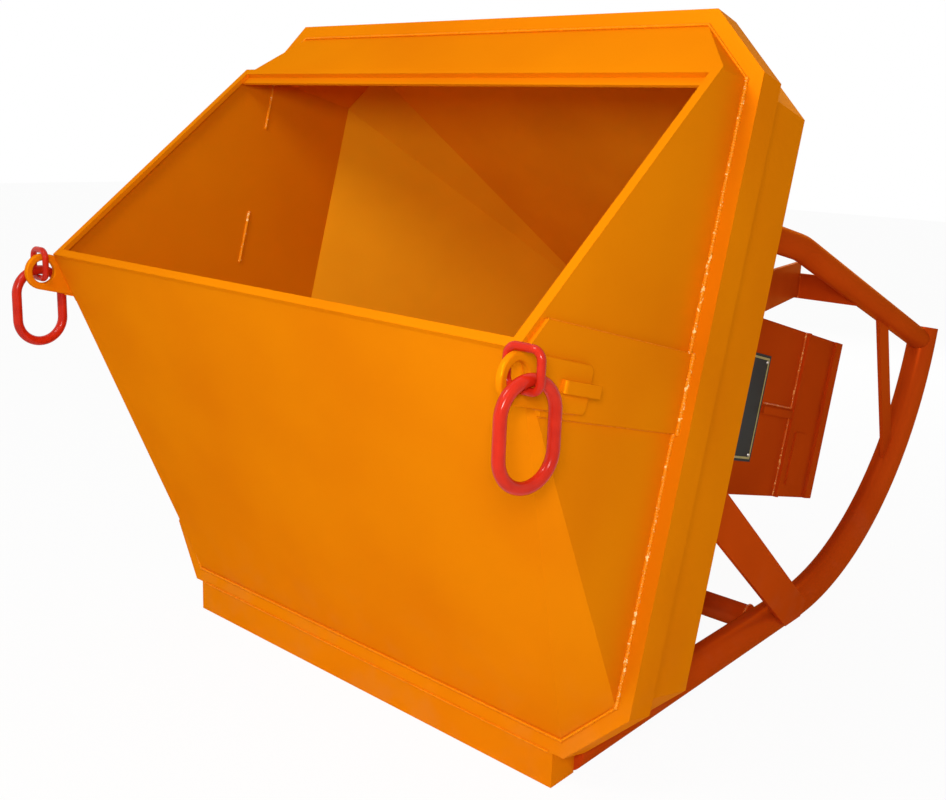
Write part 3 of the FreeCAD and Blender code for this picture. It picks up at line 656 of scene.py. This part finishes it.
class Welder:
    """Lays weld beads as rows of overlapping ripples."""

    PITCH_SHARE = 1.15
    SIZE_RANGE = (0.90, 1.08)
    BATCH = 24

    def __init__(self, paints: PaintShop, seed: int = 7) -> None:
        """Keeps the paints and a seeded source of small irregularities.

        Args:
            paints: The source of materials.
            seed: Seed of the irregularities.
        """
        self.paints = paints
        self.random = random.Random(seed)

    def _run(self, piece: MeshPiece, start: Vector, end: Vector, radius: float) -> None:
        """Adds the ripples of one straight run, a few at a time because a small mesh grows faster.

        Args:
            piece: The mesh that takes them.
            start: Where the run starts.
            end: Where it ends.
            radius: The bead's half width.
        """
        direction = end - start
        turn = X_AXIS.rotation_difference(direction)
        count = max(2, round(direction.length / (radius * self.PITCH_SHARE)))
        store = bpy.data.meshes.new("run")
        for first in range(0, count + 1, self.BATCH):
            batch = MeshPiece("batch")
            for index in range(first, min(first + self.BATCH, count + 1)):
                size = radius * self.random.uniform(*self.SIZE_RANGE)
                batch.ball(start.lerp(end, index / count), turn, (size, size, size))
            batch.bm.to_mesh(store)
            batch.bm.free()
            piece.bm.from_mesh(store)
        bpy.data.meshes.remove(store)

    def lay(self, name: str, seams: Iterable[Seam], finish: Finish) -> bpy.types.Object:
        """Lays seams as one piece.

        Args:
            name: The piece's name.
            seams: The seams.
            finish: The beads' finish.

        Returns:
            The piece.
        """
        piece = MeshPiece(name)
        for seam in seams:
            for start, end in zip(seam.points, seam.points[1:]):
                self._run(piece, start, end, seam.radius)
        return piece.finish(self.paints.material(finish), Slot.TANK, smooth=True)


@dataclass(frozen=True)
class FlangeWelds:
    """The bright beads between the flange's face and the side plates, and the stitches inside.

    Attributes:
        wall: Half width over the side plates.
        strap_face: Half width over the straps.
        inner: Half width just inside the side plates.
        lift: Where the outer beads lie along the flow.
        inner_lift: Where the stitches lie along the flow.
        ends: Lower and upper end of the beads.
        gap: Where the strap interrupts them.
        strap_run: Ends of the bead across the strap.
        stitches: Ends of each stitch inside.
        bead: Half width of a side bead in metres.
        strap_bead: Half width of a strap bead in metres.
        stitch_bead: Half width of a stitch in metres.
    """

    wall: float = 645.5
    strap_face: float = 653.0
    inner: float = 638.2
    lift: float = -1.5
    inner_lift: float = 0.5
    ends: Span = (127.0, 1243.0)
    gap: Span = (616.0, 761.0)
    strap_run: Span = (619.0, 758.0)
    stitches: tuple[Span, ...] = ((330.0, 450.0), (555.0, 680.0), (785.0, 908.0), (1120.0, 1236.0))
    bead: float = 0.0042
    strap_bead: float = 0.0046
    stitch_bead: float = 0.0040

    def _runs(self) -> list[tuple[float, float, float, float, float]]:
        """Half width, place along the flow, lower end, upper end and radius of each side's beads."""
        runs = [(self.wall, self.lift, self.ends[0], self.gap[0], self.bead),
                (self.wall, self.lift, self.gap[1], self.ends[1], self.bead),
                (self.strap_face, self.lift, *self.strap_run, self.strap_bead)]
        return runs + [(self.inner, self.inner_lift, *stitch, self.stitch_bead) for stitch in self.stitches]

    def build(self, welder: Welder) -> bpy.types.Object:
        """Lays the beads.

        Args:
            welder: The welder that lays them.

        Returns:
            The piece.
        """
        seams = [tank_seam(radius, (sign * across, along, low), (sign * across, along, high))
                 for _, sign in SIDES for across, along, low, high, radius in self._runs()]
        return welder.lay("flange_welds", seams, WELD_FINISH)


@dataclass(frozen=True)
class StrapWelds:
    """The beads round one strap and its lug pad.

    Attributes:
        side: "left" or "right".
        sign: -1 for the left side, 1 for the right.
        wall: Half width where the strap meets its side plate.
        face: Half width over the strap.
        flange_end: Where the strap's beads end at the flange.
        upper: Start and height of the bead above the strap.
        lower: Start and height of the bead below it.
        pad: Start, end and height of the bead below the lug pad.
        bead: Half width of a strap bead in metres.
        pad_bead: Half width of the pad's bead in metres.
    """

    side: str
    sign: int
    wall: float = 645.3
    face: float = 653.0
    flange_end: float = -3.0
    upper: Span = (-424.0, 760.2)
    lower: Span = (-400.0, 616.8)
    pad: tuple[float, float, float] = (-430.0, -319.0, 628.4)
    bead: float = 0.0014
    pad_bead: float = 0.0016

    def build(self, welder: Welder) -> bpy.types.Object:
        """Lays the beads.

        Args:
            welder: The welder that lays them.

        Returns:
            The piece.
        """
        wall, face = self.sign * self.wall, self.sign * self.face
        seams = [tank_seam(self.bead, (wall, start, level), (wall, self.flange_end, level))
                 for start, level in (self.upper, self.lower)]
        start, end, level = self.pad
        seams.append(tank_seam(self.pad_bead, (face, start, level), (face, end, level)))
        return welder.lay("strap_welds_" + self.side, seams, BEAD_FINISH)


@dataclass(frozen=True)
class EdgeWelds:
    """The quieter beads along the flange's other edges and on top of the sill.

    Attributes:
        sill_reach: Half length of the sill's bead in metres.
        sill_place: Its Y and Z in metres.
        sill_bead: Its half width in metres.
        lift: Where the flange's beads lie along the flow.
        flat: Half width at which the flange's straight edges end.
        wall: Half width at which the cut corners end.
        edges: Height of each straight edge and of its corners' far ends.
        bead: Half width of a flange bead in metres.
    """

    sill_reach: float = 0.525
    sill_place: Span = (-0.0358, 0.0702)
    sill_bead: float = 0.0022
    lift: float = -1.5
    flat: float = 549.5
    wall: float = 645.5
    edges: tuple[Span, ...] = ((29.5, 127.0), (1340.5, 1243.0))
    bead: float = 0.003

    def build(self, welder: Welder) -> bpy.types.Object:
        """Lays the beads.

        Args:
            welder: The welder that lays them.

        Returns:
            The piece.
        """
        ends = [Vector((reach, *self.sill_place)) for reach in (-self.sill_reach, self.sill_reach)]
        seams = [Seam(tuple(ends), self.sill_bead)]
        for level, corner in self.edges:
            seams.append(tank_seam(self.bead, (-self.flat, self.lift, level), (self.flat, self.lift, level)))
            for _, sign in SIDES:
                seams.append(tank_seam(self.bead, (sign * self.wall, self.lift, corner),
                                       (sign * self.flat, self.lift, level)))
        return welder.lay("edge_welds", seams, BEAD_FINISH)


@dataclass(frozen=True)
class FrameWelds:
    """The beads of the frame behind the tank and of the casing.

    Attributes:
        foot: Middle of the ring bead where the foot tube meets a rail, in metres.
        foot_radius: The ring's radius in metres.
        foot_points: Corners of the ring.
        joint: Lower end of the bead beside an upright, in metres.
        joint_length: That bead's length in metres.
        tube_bead: Half width of these beads in metres.
        casing_face: Half width over the casing's sides.
        fold_along: Where the bead along the folded edge lies.
        fold_runs: Ends of its two runs.
        fold_bead: Half width of the fold's bead in metres.
        rib_run: Ends of the bead along the rib.
        rib_level: Its height.
        rib_bead: Its half width in metres.
    """

    foot: Point = (0.4835, 0.815, 0.03805)
    foot_radius: float = 0.0312
    foot_points: int = 24
    joint: Point = (0.3625, 1.1805, 0.775)
    joint_length: float = 0.058
    tube_bead: float = 0.003
    casing_face: float = 339.0
    fold_along: float = 1157.5
    fold_runs: tuple[Span, ...] = ((455.0, 668.0), (700.0, 905.0))
    fold_bead: float = 0.0034
    rib_run: Span = (984.0, 1156.0)
    rib_level: float = 697.5
    rib_bead: float = 0.0030

    def _tube_seams(self, sign: int) -> list[Seam]:
        """The foot's ring and the bead beside the upright, on one side.

        Args:
            sign: -1 for the left side, 1 for the right.

        Returns:
            The seams.
        """
        foot = Vector((sign * self.foot[0], *self.foot[1:]))
        joint = Vector((sign * self.joint[0], *self.joint[1:]))
        return [Seam(ring_points(foot, X_AXIS, self.foot_radius, self.foot_points), self.tube_bead),
                Seam((joint, joint + Z_AXIS * self.joint_length), self.tube_bead)]

    def _casing_seams(self, sign: int) -> list[Seam]:
        """The beads of one side of the casing.

        Args:
            sign: -1 for the left side, 1 for the right.

        Returns:
            The seams.
        """
        face = sign * self.casing_face
        seams = [tank_seam(self.fold_bead, (face, self.fold_along, low), (face, self.fold_along, high))
                 for low, high in self.fold_runs]
        start, end = self.rib_run
        seams.append(tank_seam(self.rib_bead, (face, start, self.rib_level), (face, end, self.rib_level)))
        return seams

    def build(self, welder: Welder) -> bpy.types.Object:
        """Lays the beads.

        Args:
            welder: The welder that lays them.

        Returns:
            The piece.
        """
        seams = [seam for _, sign in SIDES for seam in self._tube_seams(sign)]
        seams += [seam for _, sign in SIDES for seam in self._casing_seams(sign)]
        return welder.lay("frame_welds", seams, FRAME_WELD_FINISH)


@dataclass(frozen=True)
class SignPlate:
    """The blank dark plate with a pale border on the casing's right side.

    Attributes:
        face: Half width over the casing's side, where the plate lies.
        along: Its two ends along the flow.
        up: Its lower and upper edge.
        thick: Its thickness.
        rounding: The rounding of its edges in metres.
        border: How far the border lies in from its edge.
        line_share: Width of the border's line as a share of that.
        line_proud: How far the line stands out of the plate.
        screw_share: How far the screws lie in, as a share of the border.
        screw_proud: How far the middle of a screw's head stands out of the plate.
        screw_radius: Radius of a screw's head in metres.
        screw_depth: Height of a screw's head in metres.
        screw_top: Radius of its top as a share of its foot's.
    """

    face: float = 338.0
    along: Span = (806.0, 972.0)
    up: Span = (540.0, 820.0)
    thick: float = 2.5
    rounding: float = 0.0004
    border: float = 7.0
    line_share: float = 0.8
    line_proud: float = 0.4
    screw_share: float = 2.6
    screw_proud: float = 1.2
    screw_radius: float = 0.0045
    screw_depth: float = 0.003
    screw_top: float = 0.7

    def _slab(self, piece: MeshPiece, along: Span, up: Span, thick: float, bevel: float = 0.0) -> None:
        """Adds a slab lying on the casing's side.

        Args:
            piece: The mesh that takes it.
            along: Its two ends along the flow, in millimetres.
            up: Its lower and upper edge, in millimetres.
            thick: Its thickness in millimetres.
            bevel: The rounding of its edges in metres.
        """
        centre = TANK.point(self.face + thick / 2, sum(along) / 2, sum(up) / 2)
        size = (thick * MM, (along[1] - along[0]) * MM, (up[1] - up[0]) * MM)
        piece.block(centre, TANK.turn(), size, bevel)

    def _plate(self, paints: PaintShop) -> bpy.types.Object:
        """The dark plate.

        Args:
            paints: The source of materials.

        Returns:
            The piece.
        """
        piece = MeshPiece("sign_plate")
        self._slab(piece, self.along, self.up, self.thick, self.rounding)
        return piece.finish(paints.material(PLATE_FINISH), Slot.TANK)

    def _border(self, paints: PaintShop) -> bpy.types.Object:
        """The pale line near the plate's edge.

        Args:
            paints: The source of materials.

        Returns:
            The piece.
        """
        piece = MeshPiece("sign_border")
        near, far = self.along[0] + self.border, self.along[1] - self.border
        low, high = self.up[0] + self.border, self.up[1] - self.border
        wide = self.border * self.line_share
        for along, up in (((near, near + wide), (low, high)), ((far - wide, far), (low, high)),
                          ((near + wide, far - wide), (low, low + wide)),
                          ((near + wide, far - wide), (high - wide, high))):
            self._slab(piece, along, up, self.thick + self.line_proud)
        return piece.finish(paints.material(BORDER_FINISH), Slot.TANK)

    def _screws(self, paints: PaintShop) -> bpy.types.Object:
        """Screw heads at the plate's corners.

        Args:
            paints: The source of materials.

        Returns:
            The piece.
        """
        piece = MeshPiece("sign_screws")
        inset = self.border * self.screw_share
        for along in (self.along[0] + inset, self.along[1] - inset):
            for up in (self.up[0] + inset, self.up[1] - inset):
                centre = TANK.point(self.face + self.thick + self.screw_proud, along, up)
                piece.disc(centre, X_AXIS, self.screw_radius, self.screw_depth, top_share=self.screw_top)
        return piece.finish(paints.material(BOLT_FINISH), Slot.GATE)

    def build(self, paints: PaintShop) -> list[bpy.types.Object]:
        """Builds the plate, its border and its four screws.

        Args:
            paints: The source of materials.

        Returns:
            The three pieces.
        """
        return [self._plate(paints), self._border(paints), self._screws(paints)]


@dataclass(frozen=True)
class TrunnionCaps:
    """Bright end caps on the trunnions of one jaw of the gate.

    Attributes:
        side: "left" or "right".
        sign: -1 for the left jaw, 1 for the right.
        top: Height of the upper cap, in millimetres up the flange.
        bottom: Height of the lower cap.
        across: The trunnions' distance from the middle.
        along: Their place along the flow.
        radius: A cap's radius in metres.
        depth: Its height in metres.
        sides: Number of its sides.
    """

    side: str
    sign: int
    top: float
    bottom: float = 439.5
    across: float = 80.0
    along: float = 1094.0
    radius: float = 0.0125
    depth: float = 0.003
    sides: int = 40

    def build(self, paints: PaintShop) -> bpy.types.Object:
        """Builds the two caps.

        Args:
            paints: The source of materials.

        Returns:
            The piece.
        """
        piece = MeshPiece("trunnion_caps_" + self.side)
        up_axis = TANK.turn() @ Z_AXIS
        for level, heading in ((self.top, up_axis), (self.bottom, -up_axis)):
            centre = TANK.point(self.sign * self.across, self.along, level)
            piece.disc(centre, heading, self.radius, self.depth, sides=self.sides)
        return piece.finish(paints.material(BOLT_FINISH), Slot.GATE, "jaw_" + self.side)


WHITE = (1.0, 1.0, 1.0)


@dataclass(frozen=True)
class Lamp:
    """One square area lamp.

    Attributes:
        name: Its name.
        place: Where it hangs.
        target: What it points at.
        size: Its side in metres.
        power: Its power in watts.
        colour: Its colour.
    """

    name: str
    place: Point
    target: Point
    size: float
    power: float
    colour: Colour = WHITE

    def hang(self) -> None:
        """Puts the lamp into the scene."""
        data = bpy.data.lights.new(self.name, "AREA")
        data.size = self.size
        data.energy = self.power
        data.color = self.colour
        lamp = bpy.data.objects.new(self.name, data)
        lamp.location = self.place
        heading = Vector(self.target) - Vector(self.place)
        lamp.rotation_euler = heading.to_track_quat("-Z", "Y").to_euler()
        bpy.context.scene.collection.objects.link(lamp)


MIDDLE = (0.0, 0.2, 0.7)
WARM = (1.0, 0.98, 0.94)
LAMPS = (
    Lamp("flash", (1.70, -1.75, 1.50), (0.1, 0.1, 0.75), 0.45, 31.0, WARM),
    Lamp("over the mouth", (0.1, -1.5, 2.5), (0.1, 0.5, 0.6), 0.7, 24.0, WARM),
    Lamp("top", (-0.6, 0.6, 4.2), MIDDLE, 2.4, 9.0),
    Lamp("left", (-3.0, -2.8, 1.6), MIDDLE, 1.6, 11.0, (1.0, 0.98, 0.95)),
    Lamp("rear", (-0.6, 4.8, 1.7), (0.0, 1.0, 0.6), 1.8, 34.0, (1.0, 0.98, 0.96)),
    Lamp("right", (3.6, 1.2, 1.6), (0.3, 0.9, 0.5), 1.8, 3.0, (1.0, 0.96, 0.92)),
)


@dataclass(frozen=True)
class Studio:
    """Camera, world, floor and lamps.

    Attributes:
        camera_place: Where the camera stands, as solved from the photograph.
        camera_right: Its right-hand direction.
        camera_up: Its upward direction.
        camera_back: The direction it looks away from.
        lens: Its focal length in millimetres.
        shift: Its sideways and upward shift.
        sight: How far it sees, in metres.
        soft_light: Strength of the light from all round.
        soft_colour: Colour of that light.
        floor_reach: The floor's half size in metres.
        floor_level: Its height in metres.
        floor_colour: Its colour.
        floor_roughness: Its roughness.
        floor_white: How white it is drawn, from 0 for its lit colour to 1 for plain white.
        lamps: The lamps.
    """

    camera_place: Point = (1.588, -1.502, 1.178)
    camera_right: Point = (0.75150, 0.65875, 0.03617)
    camera_up: Point = (-0.16915, 0.13940, 0.97568)
    camera_back: Point = (0.63768, -0.73934, 0.21618)
    lens: float = 41.77
    shift: Span = (-0.0047, -0.0325)
    sight: float = 60.0
    soft_light: float = 0.34
    soft_colour: Colour = (1.0, 0.99, 0.97)
    floor_reach: float = 16.0
    floor_level: float = -0.0005
    floor_colour: Colour = (0.90, 0.90, 0.89)
    floor_roughness: float = 0.8
    floor_white: float = 0.95
    lamps: tuple[Lamp, ...] = LAMPS

    def build(self) -> None:
        """Sets everything up."""
        self._camera()
        self._world()
        self._floor()
        for lamp in self.lamps:
            lamp.hang()

    def _camera(self) -> None:
        """The camera, at the photograph's viewing angle."""
        data = bpy.data.cameras.new("camera")
        data.lens = self.lens
        data.shift_x, data.shift_y = self.shift
        data.clip_end = self.sight
        camera = bpy.data.objects.new("camera", data)
        axes = Matrix((self.camera_right, self.camera_up, self.camera_back)).transposed()
        camera.matrix_world = Matrix.Translation(self.camera_place) @ axes.to_4x4()
        bpy.context.scene.collection.objects.link(camera)
        bpy.context.scene.camera = camera

    def _world(self) -> None:
        """White behind the object, a plain soft light from all round."""
        world = bpy.data.worlds.new("studio")
        bpy.context.scene.world = world
        world.use_nodes = True
        graph = Graph(world.node_tree)
        soft = graph.tree.nodes["Background"]
        graph.feed(soft, {"Color": self.soft_colour, "Strength": self.soft_light})
        plain = graph.node("ShaderNodeBackground", None, {"Color": WHITE, "Strength": 1.0})
        mix = graph.node("ShaderNodeMixShader", None,
                         {0: graph.seen_directly(), 1: soft.outputs[0], 2: plain.outputs[0]})
        graph.feed(graph.tree.nodes["World Output"], {"Surface": mix.outputs[0]})

    def _floor_material(self) -> bpy.types.Material:
        """The pale material that keeps a soft shadow."""
        material = bpy.data.materials.new("floor")
        material.use_nodes = True
        graph = Graph(material.node_tree)
        matt = graph.tree.nodes["Principled BSDF"]
        graph.feed(matt, {"Base Color": self.floor_colour, "Roughness": self.floor_roughness})
        glow = graph.node("ShaderNodeEmission", None, {"Color": WHITE, "Strength": 1.0})
        white = graph.seen_directly() * self.floor_white
        mix = graph.node("ShaderNodeMixShader", None, {0: white, 1: matt.outputs[0], 2: glow.outputs[0]})
        graph.feed(graph.tree.nodes["Material Output"], {"Surface": mix.outputs[0]})
        return material

    def _floor(self) -> None:
        """A wide floor."""
        grid = bmesh.new()
        bmesh.ops.create_grid(grid, x_segments=1, y_segments=1, size=self.floor_reach)
        mesh = bpy.data.meshes.new("floor")
        grid.to_mesh(mesh)
        grid.free()
        mesh.materials.append(self._floor_material())
        floor = bpy.data.objects.new("floor", mesh)
        floor.location.z = self.floor_level
        bpy.context.scene.collection.objects.link(floor)


@dataclass(frozen=True)
class EdgeRounder:
    """Rounds the CAD nodes' sharp edges by a modifier.

    Attributes:
        width: The rounding in metres.
        cap_width: The rounding of the rails' end caps.
        steps: Steps across a rounded edge.
        angle: How sharp an edge has to be, in radians.
    """

    width: float = 0.0012
    cap_width: float = 0.004
    steps: int = 2
    angle: float = math.radians(40.0)

    def treat(self, name: str, item: bpy.types.Object) -> None:
        """Gives a CAD node its rounding.

        Args:
            name: The node's name.
            item: The node's object.
        """
        bevel = item.modifiers.new("edge", "BEVEL")
        bevel.width = self.cap_width if name.startswith("rail_cap") else self.width
        bevel.segments = self.steps
        bevel.limit_method = "ANGLE"
        bevel.angle_limit = self.angle
        bevel.harden_normals = True


def main() -> None:
    """Dresses the frame, adds the pieces, lights the scene and reports each piece."""
    logging.basicConfig(level=logging.INFO)
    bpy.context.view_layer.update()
    bpy.context.scene.view_settings.view_transform = "Standard"
    paints = PaintShop()
    rounder = EdgeRounder()
    for name, item in frame["nodes"].items():
        paints.dress_node(name, item)
        rounder.treat(name, item)
    welder = Welder(paints)
    pieces = [FlangeWelds().build(welder)]
    pieces += [StrapWelds(side, sign).build(welder) for side, sign in SIDES]
    pieces += [EdgeWelds().build(welder), FrameWelds().build(welder)]
    pieces += SignPlate().build(paints)
    pieces += [TrunnionCaps("left", -1, 933.0).build(paints), TrunnionCaps("right", 1, 920.5).build(paints)]
    for piece in pieces:
        logger.info("%s: %d faces", piece.name, len(piece.data.polygons))
    Studio().build()


if __name__ == "__main__":
    main()
